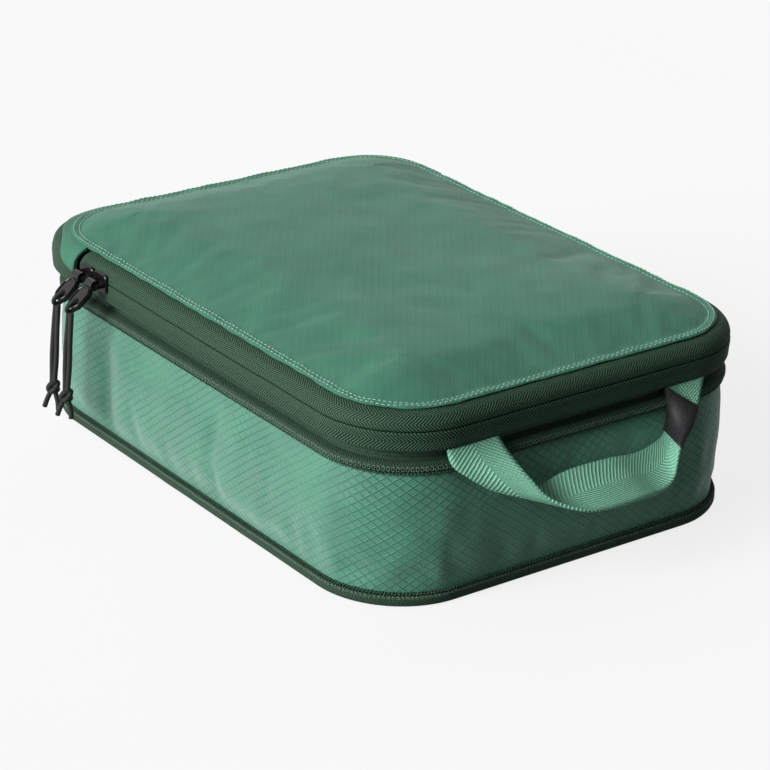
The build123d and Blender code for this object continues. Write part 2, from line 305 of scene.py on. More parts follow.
def walk():
    """Columns round the wall from the middle of the -X side towards -Y: (point, outwards, distance)."""
    half_x, half_y = LENGTH / 2, WIDTH / 2
    flat_x, flat_y = half_x - CORNER, half_y - CORNER
    columns = []
    distance = 0.0

    def straight(start, end, steps, out):
        nonlocal distance
        length = (end - start).length
        for step in range(steps):
            columns.append((start.lerp(end, step / steps), out, distance + length * step / steps))
        distance += length

    def corner(centre, first):
        nonlocal distance
        length = CORNER * math.pi / 2
        for step in range(ROUND):
            angle = math.radians(first + 90 * step / ROUND)
            out = Vector((math.cos(angle), math.sin(angle)))
            columns.append((centre + CORNER * out, out, distance + length * step / ROUND))
        distance += length

    straight(Vector((-half_x, 0)), Vector((-half_x, -flat_y)), HALF_SHORT, Vector((-1, 0)))
    corner(Vector((-flat_x, -flat_y)), 180)
    straight(Vector((-flat_x, -half_y)), Vector((flat_x, -half_y)), LONG, Vector((0, -1)))
    corner(Vector((flat_x, -flat_y)), 270)
    straight(Vector((half_x, -flat_y)), Vector((half_x, flat_y)), 2 * HALF_SHORT, Vector((1, 0)))
    corner(Vector((flat_x, flat_y)), 0)
    straight(Vector((flat_x, half_y)), Vector((-flat_x, half_y)), LONG, Vector((0, 1)))
    corner(Vector((-flat_x, flat_y)), 90)
    straight(Vector((-half_x, flat_y)), Vector((-half_x, 0)), HALF_SHORT, Vector((-1, 0)))
    return columns, distance


COLUMNS, ROUND_LENGTH = walk()


def finer(columns, parts):
    """The same columns with more between them, for pieces with fine detail."""
    made = []
    for here, after in zip(columns, columns[1:] + columns[:1]):
        gap = (after[2] - here[2]) % ROUND_LENGTH
        for part in range(parts):
            share = part / parts
            out = here[1].lerp(after[1], share).normalized()
            if (here[1] - after[1]).length > 1e-6:
                centre = here[0] - CORNER * here[1]
                point = centre + CORNER * out
            else:
                point = here[0].lerp(after[0], share)
            made.append((point, out, here[2] + gap * share))
    return made


def at(column, out, z):
    """Point beside a column, outwards from the wall and at a height."""
    return Vector((*(column[0] + out * column[1]), z))


def make_mesh(name, points, faces, uvs=None):
    """Object from points in mm, faces, and each face's cloth coordinates in mm."""
    mesh = bpy.data.meshes.new(name)
    mesh.from_pydata([tuple(p * MM for p in point) for point in points], [], faces)
    if uvs:
        layer = mesh.uv_layers.new(name="cloth")
        for loop, uv in zip(layer.data, (corner for face in uvs for corner in face)):
            loop.uv = (uv[0] * MM, uv[1] * MM)
    mesh.shade_smooth()
    obj = bpy.data.objects.new(name, mesh)
    bpy.context.scene.collection.objects.link(obj)
    return obj


def grid_mesh(name, grid, us, vs, closed=False, ring=False):
    """Mesh from rows of points: closed joins the last row to the first, ring the last point to the first.

    us has one value more than the rows when it is closed, and vs one more than the points in a ring.
    """
    wide, tall = len(grid), len(grid[0])
    points = [point for row in grid for point in row]
    faces, uvs = [], []
    for i in range(wide if closed else wide - 1):
        for j in range(tall if ring else tall - 1):
            across = (i + 1) % wide
            up = (j + 1) % tall
            faces.append((i * tall + j, across * tall + j, across * tall + up, i * tall + up))
            uvs.append(((us[i], vs[j]), (us[i + 1], vs[j]), (us[i + 1], vs[j + 1]), (us[i], vs[j + 1])))
    if ring and not closed:
        faces.append(tuple(range(tall)))
        uvs.append(tuple((us[0], vs[j]) for j in range(tall)))
        last = (wide - 1) * tall
        faces.append(tuple(last + j for j in reversed(range(tall))))
        uvs.append(tuple((us[-1], vs[j]) for j in reversed(range(tall))))
    return make_mesh(name, points, faces, uvs)


def curve_through(points, per_span):
    """Smooth points through the given ones (Catmull-Rom)."""
    points = [Vector(p) for p in points]
    ends = [2 * points[0] - points[1], *points, 2 * points[-1] - points[-2]]
    made = []
    for a, b, c, d in zip(ends, ends[1:], ends[2:], ends[3:]):
        for step in range(per_span):
            t = step / per_span
            made.append(0.5 * ((2 * b) + (c - a) * t + (2 * a - 5 * b + 4 * c - d) * t * t
                               + (3 * b - a - 3 * c + d) * t ** 3))
    made.append(points[-1])
    return made


def shell_profile(outside, thickness, per_span=3):
    """Closed section of a band: the smooth outer line, then back along the inside."""
    line = curve_through(outside, per_span)
    inner = []
    for k, point in enumerate(line):
        before, after = line[max(k - 1, 0)], line[min(k + 1, len(line) - 1)]
        run = (after - before).normalized()
        inner.append(point - thickness * Vector((run.y, -run.x)))
    lengths = [0.0]
    for first, second in zip(line, line[1:]):
        lengths.append(lengths[-1] + (second - first).length)
    section = line + inner[::-1]
    vs = lengths + lengths[::-1]
    return section, vs + [vs[0]]


def band(name, outside, thickness, columns, closed, mat, body, waves=None):
    """Strip of tape round the wall with a smooth section of (outwards, height) points, bottom to top."""
    section, vs = shell_profile(outside, thickness)
    grid = []
    for column in columns:
        shift = waves(column[2]) if waves else 0.0
        grid.append([at(column, p.x + shift, p.y) for p in section])
    us = [column[2] for column in columns]
    if closed:
        us.append(ROUND_LENGTH)
    obj = grid_mesh(name, grid, us, vs, closed=closed, ring=True)
    dress(obj, mat)
    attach(obj, body)
    return obj


def settle(obj):
    """Applies every modifier, so that the mesh is final."""
    graph = bpy.context.evaluated_depsgraph_get()
    graph.update()
    final = bpy.data.meshes.new_from_object(obj.evaluated_get(graph), preserve_all_data_layers=True,
                                            depsgraph=graph)
    obj.modifiers.clear()
    obj.vertex_groups.clear()
    obj.data = final


def relax(obj, pinned, pressure, growth, cap, share=None, frames=16):
    """Cloth simulation of a held sheet, its movement capped and faded by share, left in the mesh."""
    start = [v.co.copy() for v in obj.data.vertices]
    held = obj.vertex_groups.new(name="held")
    held.add(pinned, 1.0, "REPLACE")
    cloth = obj.modifiers.new("cloth", "CLOTH")
    settings = cloth.settings
    settings.quality = 7
    settings.mass = 0.15
    settings.tension_stiffness = 25
    settings.compression_stiffness = 25
    settings.shear_stiffness = 12
    settings.bending_stiffness = 0.4
    settings.air_damping = 3
    settings.vertex_group_mass = "held"
    settings.shrink_min = -growth
    settings.use_pressure = True
    settings.uniform_pressure_force = pressure
    settings.effector_weights.gravity = 0
    cloth.point_cache.frame_start = 1
    cloth.point_cache.frame_end = frames
    scene = bpy.context.scene
    for number in range(1, frames + 1):
        scene.frame_set(number)
    graph = bpy.context.evaluated_depsgraph_get()
    moved = [v.co.copy() for v in obj.evaluated_get(graph).data.vertices]
    obj.modifiers.clear()
    obj.vertex_groups.clear()
    scene.frame_set(1)
    for vertex, before, after in zip(obj.data.vertices, start, moved):
        step = after - before
        if step.length > cap * MM:
            step = step.normalized() * cap * MM
        vertex.co = before + step * (share(before / MM) if share else 1.0)


# ---------------------------------------------------------------- camera, floor and light

CAMERA_AZIMUTH = math.radians(-37.25)
CAMERA_ELEVATION = math.radians(23.71)
CAMERA_ROLL = math.radians(2.0)
CAMERA_DISTANCE = 1.196
TARGET = Vector((0.0301, -0.0209, 0.045))
SENSOR = 36.0
FOCAL = 2.42 * CAMERA_DISTANCE * 1000 / 770 * SENSOR

away = Vector((math.cos(CAMERA_AZIMUTH) * math.cos(CAMERA_ELEVATION),
               math.sin(CAMERA_AZIMUTH) * math.cos(CAMERA_ELEVATION), math.sin(CAMERA_ELEVATION)))
camera = bpy.data.objects.new("camera", bpy.data.cameras.new("camera"))
bpy.context.scene.collection.objects.link(camera)
camera.data.lens = FOCAL
camera.data.sensor_width = SENSOR
camera.location = TARGET + away * CAMERA_DISTANCE
roll = Matrix.Rotation(CAMERA_ROLL, 3, "Z").to_quaternion()
camera.rotation_euler = ((-away).to_track_quat("-Z", "Y") @ roll).to_euler()
bpy.context.scene.camera = camera
bpy.context.scene.view_settings.view_transform = "Standard"


def floor():
    """Pale paper that takes a faint shadow; its glow keeps it bright, and it doesn't light the bag."""
    size = 6.0
    corners = [(-size, -size, 0), (size, -size, 0), (size, size, 0), (-size, size, 0)]
    mesh = bpy.data.meshes.new("floor")
    mesh.from_pydata(corners, [], [(0, 1, 2, 3)])
    obj = bpy.data.objects.new("floor", mesh)
    bpy.context.scene.collection.objects.link(obj)
    mat, tree, shader = material("floor_paper")
    value = noise_value(tree, object_axes(tree), 3)
    paper = blend_colour(tree, value, (0.12, 0.12, 0.12), (0.14, 0.14, 0.14))
    tree.links.new(paper, shader.inputs["Base Color"])
    shader.inputs["Roughness"].default_value = 0.9
    shader.inputs["Specular IOR Level"].default_value = 0.1
    shader.inputs["Emission Color"].default_value = (1, 1, 1, 1)
    shader.inputs["Emission Strength"].default_value = 0.80
    mesh.materials.append(mat)
    obj.visible_diffuse = False
    obj.visible_glossy = False


def studio():
    """A big soft key from in front, and a pale surround that is darker towards the handle's side."""
    key = bpy.data.lights.new("key", "SUN")
    key.energy = 4.9
    key.angle = math.radians(34)
    lamp = bpy.data.objects.new("key", key)
    lamp.rotation_euler = Vector((0.0, -0.90, 0.42)).to_track_quat("Z", "Y").to_euler()
    bpy.context.scene.collection.objects.link(lamp)
    world = bpy.data.worlds.new("studio")
    world.use_nodes = True
    tree = world.node_tree
    background = tree.nodes["Background"]
    where = node(tree, "ShaderNodeTexCoord")
    split = node(tree, "ShaderNodeSeparateXYZ")
    tree.links.new(where.outputs["Generated"], split.inputs[0])
    shade = ramp(tree, split.outputs["X"], 0.25, -0.85)
    surround = blend_colour(tree, shade, (0.16, 0.17, 0.17), (0.85, 0.85, 0.85))
    tree.links.new(surround, background.inputs["Color"])
    background.inputs["Strength"].default_value = 1.0
    bpy.context.scene.world = world


floor()
studio()


# ---------------------------------------------------------------- pull cords

CORD_DIAMETER = 2.2
PULL_REACH = 13.9
BAR_OUT = 8.0
LEAN = math.radians(50)
END_Y = -(WIDTH / 2 + BAR_OUT) - PULL_REACH * math.sin(LEAN)
END_Z = SLIT_Z - PULL_REACH * math.cos(LEAN)
KNOT_OUT, KNOT_DROP = 2.4, 39.0
STRANDS = {
    "left": ((-1.3, 0.0, -1.4), (-2.0, 0.9, -14.0), (-1.8, 1.9, -26.0), (-1.3, 2.2, -35.0),
             (-1.5, 2.6, -41.0), (-3.4, 3.8, -45.5), (-4.3, 4.4, -49.0)),
    "right": ((1.3, 0.3, -1.4), (1.8, 1.5, -13.0), (1.9, 1.8, -25.0), (1.3, 2.6, -35.0),
              (1.5, 2.5, -41.0), (2.8, 1.8, -45.5), (3.3, 2.2, -48.5)),
}


def spline(name, points, radius, closed=False, weights=None):
    """Smooth round cord on a NURBS line whose control points are the route's own."""
    curve = bpy.data.curves.new(name, "CURVE")
    curve.dimensions = "3D"
    line = curve.splines.new("NURBS")
    line.points.add(len(points) - 1)
    for target, point in zip(line.points, points):
        target.co = (*(Vector(point) * MM), 1)
    if weights:
        for target, weight in zip(line.points, weights):
            target.radius = weight
    line.order_u = 3
    line.use_cyclic_u = closed
    line.use_endpoint_u = not closed
    line.resolution_u = 8
    curve.bevel_depth = radius * MM
    curve.bevel_resolution = 4
    curve.use_fill_caps = True
    obj = bpy.data.objects.new(name, curve)
    bpy.context.scene.collection.objects.link(obj)
    return obj


def tube_mesh(obj):
    """The same cord as a mesh, for closed loops and knots."""
    graph = bpy.context.evaluated_depsgraph_get()
    graph.update()
    mesh = bpy.data.meshes.new_from_object(obj.evaluated_get(graph))
    name = obj.name
    bpy.data.objects.remove(obj)
    made = bpy.data.objects.new(name, mesh)
    mesh.shade_smooth()
    bpy.context.scene.collection.objects.link(made)
    return made


def knot(number, centre):
    """Overhand knot pulled tight: the cord's turn round itself, seen as fat crossing wraps."""
    points = []
    turns = 36
    for step in range(turns):
        t = 2 * math.pi * step / turns
        reach = 1.45 + 0.72 * math.cos(3 * t)
        rise = 1.75 * math.sin(3 * t) + 0.9 * math.cos(2 * t)
        turn = Vector((reach * math.cos(2 * t) * 1.08, reach * math.sin(2 * t) * 0.95, rise))
        points.append(Vector(centre) + turn)
    obj = tube_mesh(spline(f"cord_knot_{number}", points, 1.22, closed=True))
    dress(obj, "cord")
    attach(obj, f"cord_{number}")
    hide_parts(f"pull_knot_{number}")
    return obj


def cords():
    for number, slider_x in enumerate(SLIDER_X, start=1):
        tied = knot(number, (slider_x, END_Y - KNOT_OUT, END_Z - KNOT_DROP))
        for side, steps in STRANDS.items():
            points = [(slider_x + across, END_Y - out, END_Z + down) for across, out, down in steps]
            obj = spline(f"cord_{number}_{side}", points, CORD_DIAMETER / 2)
            dress(obj, "cord")
            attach(obj, f"cord_{number}")
            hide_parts(f"pull_cord_{number}_{side}")


cords()


# ---------------------------------------------------------------- soft shells

def station(distance):
    """Point on the wall's plan and outward direction at a distance round it."""
    distance %= ROUND_LENGTH
    low, high = 0, len(COLUMNS)
    while high - low > 1:
        middle = (low + high) // 2
        if COLUMNS[middle][2] <= distance:
            low = middle
        else:
            high = middle
    here, after = COLUMNS[low], COLUMNS[(low + 1) % len(COLUMNS)]
    share = (distance - here[2]) / ((after[2] - here[2]) % ROUND_LENGTH)
    out = here[1].lerp(after[1], share).normalized()
    if (here[1] - after[1]).length > 1e-6:
        return here[0] + CORNER * (out - here[1]), out
    return here[0].lerp(after[0], share), out


def cover(name, rings, inner_height):
    """Sheet over the whole plan: rings of (offset, height) inwards from its edge, then an even grid."""
    points, faces = [], []
    count = len(COLUMNS)
    for offset, z in rings:
        points += [at(column, offset, z) for column in COLUMNS]
    points += [Vector((*(column[0] - CORNER * column[1]), inner_height(-CORNER))) for column in COLUMNS]
    for ring in range(len(rings)):
        for i in range(count):
            after = (i + 1) % count
            first, second = ring * count, (ring + 1) * count
            faces.append((first + i, first + after, second + after, second + i))
    half_x, half_y = LENGTH / 2 - CORNER, WIDTH / 2 - CORNER
    base = len(points)
    short = 2 * HALF_SHORT
    for i in range(LONG + 1):
        x = -half_x + 2 * half_x * i / LONG
        for j in range(short + 1):
            y = -half_y + 2 * half_y * j / short
            edge = min(half_x - abs(x), half_y - abs(y))
            points.append(Vector((x, y, inner_height(-CORNER - edge))))
    for i in range(LONG):
        for j in range(short):
            corner = base + i * (short + 1) + j
            faces.append((corner, corner + short + 1, corner + short + 2, corner + 1))
    obj = make_mesh(name, points, faces, [[(points[k].x, points[k].y) for k in face] for face in faces])
    shape = bmesh.new()
    shape.from_mesh(obj.data)
    bmesh.ops.remove_doubles(shape, verts=shape.verts, dist=0.01 * MM)
    shape.to_mesh(obj.data)
    shape.free()
    return obj


def rumple(obj, size, height, axis=None, where=None, seed=0.0):
    """Moves points by smooth noise, along their normals or along an axis."""
    normals = [n.vector.copy() for n in obj.data.vertex_normals]
    for vertex, normal in zip(obj.data.vertices, normals):
        place = vertex.co / (size * MM) + Vector((seed, seed, seed))
        share = where(vertex.co / MM) if where else 1.0
        vertex.co += (axis or normal) * (noise.noise(place) * height * MM * share)


def subdivide(obj):
    """One level of smooth subdivision, made final."""
    smooth = obj.modifiers.new("smooth", "SUBSURF")
    smooth.levels = smooth.render_levels = 1
    settle(obj)


def thicken(obj, thickness):
    """Gives a sheet its thickness inwards, and makes it final."""
    solid = obj.modifiers.new("thickness", "SOLIDIFY")
    solid.thickness = thickness * MM
    solid.offset = -1
    settle(obj)


LID_EDGE = -2.4
LID_RISE = 8.0
LID_SPREAD = 17.0


def lid_height(offset):
    """Height of the lid's cloth before it is relaxed, from its offset."""
    inwards = LID_EDGE - 4.2 - offset
    return 82.3 + LID_RISE * (1 - math.exp(-inwards / LID_SPREAD))


def edge_distance(point):
    """How far a point on the plan is inside the lid's edge, in mm."""
    half_x, half_y = LENGTH / 2 - CORNER, WIDTH / 2 - CORNER
    over = Vector((max(abs(point.x) - half_x, 0), max(abs(point.y) - half_y, 0)))
    if over.length > 0:
        return CORNER - over.length + LID_EDGE
    return CORNER + LID_EDGE + min(half_x - abs(point.x), half_y - abs(point.y))


def lid_cover():
    hem = [(LID_EDGE - 0.6, 81.5), (LID_EDGE, 81.9), (LID_EDGE - 0.5, 82.5), (LID_EDGE - 1.8, 82.75),
           (LID_EDGE - 3.1, 82.6), (LID_EDGE - 4.2, 82.35)]
    steps = [LID_EDGE - 4.2 - 3.1 * k for k in range(1, 10)]
    obj = cover("lid_cover", hem + [(offset, lid_height(offset)) for offset in steps], lid_height)
    held = [v.index for v in obj.data.vertices if edge_distance(v.co / MM) < 5.4]
    relax(obj, held, pressure=2.0, growth=0.005, cap=1.2)
    subdivide(obj)
    up = Vector((0, 0, 1))
    rumple(obj, 42, 1.1, up, lambda p: min(1, max(0, edge_distance(p) - 5) / 20))
    rumple(obj, 15, 0.35, up, lambda p: min(1, max(0, edge_distance(p) - 4) / 8), 5.0)
    rumple(obj, 6.5, 0.5, up, lambda p: math.exp(-((edge_distance(p) - 5.5) / 5) ** 2), 9.0)
    rumple(obj, 9, 0.5, None, lambda p: math.exp(-(edge_distance(p) / 3) ** 2), 13.0)
    thicken(obj, CLOTH)
    dress(obj, "lid")
    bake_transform(obj)
    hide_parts("lid_panel", "lid_back_strip", "lid_hem", "lid_back_hem")
    return obj


def between_tapes(point):
    """1 over the gusset's open cloth, and 0 where the two compression tapes lie over it."""
    foot_top, foot_fade = 6, 8
    zip_bottom, zip_fade = 57.5, 15
    low = min(1, max(0, (point.z - foot_top) / foot_fade))
    high = min(1, max(0, (zip_bottom - point.z) / zip_fade))
    return low * high


def dent(point):
    """How far the slack cloth under the sliders falls in, in mm."""
    if point.y > 0:
        return 0.0
    low = math.exp(-((point.x + 66) / 6.5) ** 2) * math.exp(-((point.z - 25) / 19) ** 2)
    ridge = math.exp(-((point.x + 52) / 8) ** 2) * math.exp(-((point.z - 27) / 17) ** 2)
    return 2.6 * low - 0.7 * ridge


def cut_at(obj, z, above):
    """Keeps a sheet's part above or below a height in mm."""
    shape = bmesh.new()
    shape.from_mesh(obj.data)
    everything = shape.verts[:] + shape.edges[:] + shape.faces[:]
    bmesh.ops.bisect_plane(shape, geom=everything, plane_co=(0, 0, z * MM), plane_no=(0, 0, 1),
                           clear_outer=not above, clear_inner=above)
    shape.to_mesh(obj.data)
    shape.free()


def gusset_shell():
    """The gusset's open cloth, and its upper edge, which is tucked behind the zip and goes with it."""
    rows = 22
    heights = [SEAM_Z + (GROOVE_Z - SEAM_Z) * j / rows for j in range(rows + 1)]
    grid = []
    for column in COLUMNS:
        fold = noise.noise(Vector((column[2] / 26, 3.1, 0)))
        fold += 0.5 * noise.noise(Vector((column[2] / 11, 7.7, 0)))
        line = []
        for j, z in enumerate(heights):
            here = Vector((*column[0], z))
            spread = 1.2 * math.sin(math.pi * j / rows) * (1 + 0.35 * fold) - dent(here)
            tucked = 3.2 * min(1, max(0, (z - 57) / 4))
            line.append(at(column, 0.4 - tucked + spread * between_tapes(here) ** 0.5, z))
        grid.append(line)
    us = [column[2] for column in COLUMNS] + [ROUND_LENGTH]
    obj = grid_mesh("gusset_cloth", grid, us, heights, closed=True)
    held = [v.index for v in obj.data.vertices if v.co.z < 3.0 * MM or v.co.z > 57.0 * MM]
    relax(obj, held, pressure=2.0, growth=0.013, cap=2.3, share=between_tapes)
    subdivide(obj)
    middle = (GROOVE_Z + SEAM_Z) / 2
    rumple(obj, 14, 0.5, None, lambda p: max(0, 1 - (abs(p.z - middle) / 26) ** 4), 2.0)
    tucked_strip = obj.copy()
    tucked_strip.data = obj.data.copy()
    tucked_strip.name = "gusset_tucked_edge"
    bpy.context.scene.collection.objects.link(tucked_strip)
    cut_at(obj, TUCK_Z, above=False)
    cut_at(tucked_strip, TUCK_Z, above=True)
    for part in (obj, tucked_strip):
        thicken(part, CLOTH)
        dress(part, "gusset")
    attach(tucked_strip, "upper")
    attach(obj, "base")
    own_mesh(obj)
    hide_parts("gusset")
    return obj, tucked_strip


def base_cloth():
    """Bottom of the bag: thin cloth with slight waves, flat underneath where it stands."""
    edge = [(1.9, 0.35), (2.2, 0.7), (1.4, 1.15)]
    obj = cover("base_cloth", edge + [(0.4 - 3.0 * k, 1.2) for k in range(1, 12)], lambda offset: 1.2)
    subdivide(obj)
    rumple(obj, 18, 1.1, Vector((0, 0, 1)), lambda p: 0.0 if edge_distance(p) < 2 else 1.0, 4.0)
    for vertex in obj.data.vertices:
        vertex.co.z = max(vertex.co.z, 0.9 * MM) if edge_distance(vertex.co / MM) > 0 else vertex.co.z
    thicken(obj, 0.5)
    dress(obj, "lining")
    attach(obj, "base")
    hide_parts("bottom_panel")
    return obj


lid = lid_cover()
gusset, gusset_edge = gusset_shell()
base = base_cloth()


# ---------------------------------------------------------------- zips

FRONT = [c for c in finer(COLUMNS, 2) if c[0].x > HINGE_X + 0.3]
BACK = sorted([c for c in finer(COLUMNS, 2) if c[0].x < HINGE_X - 0.3],
              key=lambda c: c[2] if c[2] > ROUND_LENGTH / 2 else c[2] + ROUND_LENGTH)
FINE = finer(COLUMNS, 2)


def ripple(distance):
    """Slight waviness of sewn tape, in mm."""
    long_waves = noise.noise(Vector((distance / 17, 0.5, 0)))
    short_waves = noise.noise(Vector((distance / 6, 4.5, 0)))
    return 0.22 * long_waves + 0.1 * short_waves


def back_bulge(distance):
    """The back corners stand out a little, where the folded ends of the zip are sewn in."""
    from_back = min(distance % ROUND_LENGTH, -distance % ROUND_LENGTH)
    return ripple(distance) + 2.6 * math.exp(-((from_back - 88) / 22) ** 2)


def tapes():
    upper = [(2.6, 74.62), (3.3, 75.0), (3.1, 76.8), (2.2, 78.6), (0.6, 80.1), (-1.8, 81.1), (-5.0, 81.6)]
    obj = band("main_zip_upper_tape", upper, 0.7, FRONT, False, "tape", "lid", ripple)
    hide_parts("main_tape_upper")
    lower = [(0.9, 66.6), (2.3, 65.9), (3.1, 66.8), (3.3, 69.5), (3.5, 72.2), (3.4, 74.0), (2.7, 74.38)]
    obj = band("main_zip_lower_tape", lower, 0.7, FRONT, False, "tape", "upper", ripple)
    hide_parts("main_tape_lower")
    behind = lower[:-1] + [(3.2, 75.3), (2.4, 78.0), (0.6, 79.9), (-1.8, 80.9), (-5.0, 81.2)]
    obj = band("back_tape", behind, 0.7, BACK, False, "tape", "upper", back_bulge)
    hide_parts("back_band")
    expander = [(0.6, 57.2), (1.9, 57.5), (2.4, 58.8), (2.3, 60.2), (0.9, 61.1), (-1.0, 61.5), (-1.7, 62.6)]
    obj = band("compression_upper_tape", expander, 0.7, FINE, True, "tape_fine", "upper", ripple)
    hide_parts("compression_tape_upper")
    foot = [(0.8, 0.4), (1.9, 0.5), (2.5, 1.2), (2.5, 2.7), (2.1, 4.0), (1.3, 4.7), (0.4, 4.9)]
    obj = band("compression_lower_tape", foot, 0.7, FINE, True, "tape_fine", "base", ripple)
    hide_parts("compression_tape_lower")


def swept(points, radius, sides, closed_ends=True):
    """Points and faces of a thin tube along a line, for thread and coils."""
    rings, faces = [], []
    count = len(points)
    for k, point in enumerate(points):
        run = (points[min(k + 1, count - 1)] - points[max(k - 1, 0)]).normalized()
        side = run.cross(Vector((0.13, 0.27, 0.95))).normalized()
        other = run.cross(side)
        for turn in range(sides):
            angle = 2 * math.pi * turn / sides
            size = radius[k] if isinstance(radius, list) else radius
            rings.append(point + side * (size * math.cos(angle)) + other * (size * math.sin(angle)))
    for k in range(count - 1):
        for turn in range(sides):
            after = (turn + 1) % sides
            here, there = k * sides, (k + 1) * sides
            faces.append((here + turn, here + after, there + after, there + turn))
    if closed_ends:
        faces.append(tuple(reversed(range(sides))))
        faces.append(tuple((count - 1) * sides + turn for turn in range(sides)))
    return rings, faces


def gather(name, parts):
    """One object from many small (points, faces) parts."""
    points, faces = [], []
    for part_points, part_faces in parts:
        base = len(points)
        points += part_points
        faces += [tuple(base + k for k in face) for face in part_faces]
    return make_mesh(name, points, faces)


def spans(pitch, first, last):
    """Distances at even steps from first to last."""
    count = int((last - first) / pitch)
    return [first + (last - first) * k / count for k in range(count)]


FRONT_FIRST = min(c[2] for c in FRONT)
FRONT_LAST = max(c[2] for c in FRONT)


def coil(name, offset, z, radius, pitch, first, last, body, replaced):
    """Nylon coil: a helix along the zip, its teeth side outwards."""
    steps = 6
    total = int((last - first) / pitch) * steps
    points = []
    for k in range(total + 1):
        place, out = station(first + (last - first) * k / total)
        angle = 2 * math.pi * k / steps
        reach = offset + radius * math.cos(angle)
        points.append(Vector((*(place + out * reach), z + radius * 0.85 * math.sin(angle))))
    obj = gather(name, [swept(points, 0.3, 4)])
    dress(obj, "coil")
    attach(obj, body)
    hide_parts(replaced)


def oval_stitches(name, offset, z, pitch, wide, tall, wire, body):
    """Row of small looped stitches standing on a tape's face."""
    parts = []
    corners = 8
    for distance in spans(pitch, 0, ROUND_LENGTH):
        loop = []
        for k in range(corners + 1):
            angle = 2 * math.pi * k / corners
            rise = tall / 2 * math.sin(angle)
            place, out = station(distance + wide / 2 * math.cos(angle))
            loop.append(Vector((*(place + out * (offset + ripple(distance))), z + rise)))
        parts.append(swept(loop, wire, 4, closed_ends=False))
    obj = gather(name, parts)
    dress(obj, "stitch")
    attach(obj, body)


def slanted_stitches(name, offset, z, pitch, run, tall, wire, first, last, body, mat):
    """Row of short slanted stitches, like whipping over an edge."""
    parts = []
    for distance in spans(pitch, first, last):
        line = []
        for k in range(5):
            share = k / 4 - 0.5
            place, out = station(distance - run * share)
            arch = 0.35 * math.cos(share * math.pi)
            line.append(Vector((*(place + out * (offset + arch)), z + tall * share)))
        parts.append(swept(line, [0.5 * wire, wire, wire, wire, 0.5 * wire], 5))
    obj = gather(name, parts)
    dress(obj, mat)
    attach(obj, body)


tapes()
BACK_GAP = 14.0
coil("main_coil_upper_turns", 1.5, 75.55, 0.6, 1.35, FRONT_FIRST + 1, FRONT_LAST - 1, "lid",
     "main_coil_upper")
coil("main_coil_lower_turns", 1.5, 73.45, 0.6, 1.35, FRONT_FIRST + 1, FRONT_LAST - 1, "upper",
     "main_coil_lower")
coil("compression_coil_upper_turns", 1.5, 56.8, 0.6, 1.35, BACK_GAP, ROUND_LENGTH - BACK_GAP, "upper",
     "compression_coil_upper")
coil("compression_coil_lower_turns", 1.3, 5.5, 0.6, 1.35, BACK_GAP, ROUND_LENGTH - BACK_GAP, "base",
     "compression_coil_lower")
oval_stitches("expander_edge_stitches", 2.5, 58.9, 1.75, 1.15, 1.9, 0.22, "upper")
oval_stitches("foot_edge_stitches", 2.3, 4.1, 1.75, 1.2, 0.9, 0.2, "base")
# Slanted stitches in the groove, given the dark coil finish: their darkness is painted shade of the recess
# over the stitches' own slant.
slanted_stitches("groove_whipping_painted_shade", -0.3, 65.3, 1.7, 1.1, 1.3, 0.34, 0, ROUND_LENGTH, "upper", "coil")


# ---------------------------------------------------------------- lid's end cloth and topstitching

def end_cloth():
    """Cloth that comes down from under the lid's back edge, over the zip's ends and round the back."""
    full = curve_through([(-6.0, 81.95), (-2.6, 81.95), (-0.2, 81.0), (2.2, 79.2), (3.9, 76.6), (4.4, 74.0),
                          (4.0, 71.8)], 6)
    steps = 12
    near = BACK[-1][2] % ROUND_LENGTH
    far = BACK[0][2]
    grid, us = [], []
    for column in BACK:
        distance = column[2] % ROUND_LENGTH
        from_end = min(abs(distance - near), abs(distance - far))
        share = 0.22 + 0.74 * math.exp(-(from_end / 13) ** 2)
        wave = 0.25 * noise.noise(Vector((distance / 9, 1.5, 2)))
        bulge = back_bulge(distance)
        line = []
        for k in range(steps + 1):
            place = share * k / steps * (len(full) - 1)
            low = min(int(place), len(full) - 2)
            point = full[low].lerp(full[low + 1], place - low)
            line.append(Vector((point.x + 0.3 + (wave + bulge) * k / steps, point.y)))
        under = [Vector((p.x - 0.55, p.y - 0.12)) for p in line[::-1]]
        grid.append([at(column, p.x, p.y) for p in line + under])
        us.append(distance if distance > ROUND_LENGTH / 2 else distance + ROUND_LENGTH)
    vs = [1.1 * k for k in range(steps + 1)]
    obj = grid_mesh("lid_end_cloth", grid, us, vs + vs[::-1] + [vs[0]], ring=True)
    dress(obj, "lid")
    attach(obj, "upper")
    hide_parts("zip_end_tab_near", "zip_end_tab_far")


def topstitch(name, inwards):
    """Row of thread on the lid's hem, laid on the cloth as it is after relaxing."""
    tree = BVHTree.FromPolygons([v.co for v in lid.data.vertices], [p.vertices for p in lid.data.polygons])
    parts = []
    pitch, length, wire = 2.5, 1.75, 0.2
    for distance in spans(pitch, 0, ROUND_LENGTH):
        line = []
        for k in range(5):
            place, out = station(distance + length * k / 4)
            spot = Vector((*(place + out * (LID_EDGE - inwards)), 100.0)) * MM
            hit = tree.ray_cast(spot, Vector((0, 0, -1)))[0]
            arch = (-0.12, 0.1, 0.14, 0.1, -0.12)[k]
            line.append(hit / MM + Vector((0, 0, arch)))
        parts.append(swept(line, wire, 5))
    obj = gather(name, parts)
    dress(obj, "hem_stitch")
    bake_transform(obj)


end_cloth()
topstitch("lid_topstitch_outer", 1.3)
topstitch("lid_topstitch_inner", 3.6)


# ---------------------------------------------------------------- handle

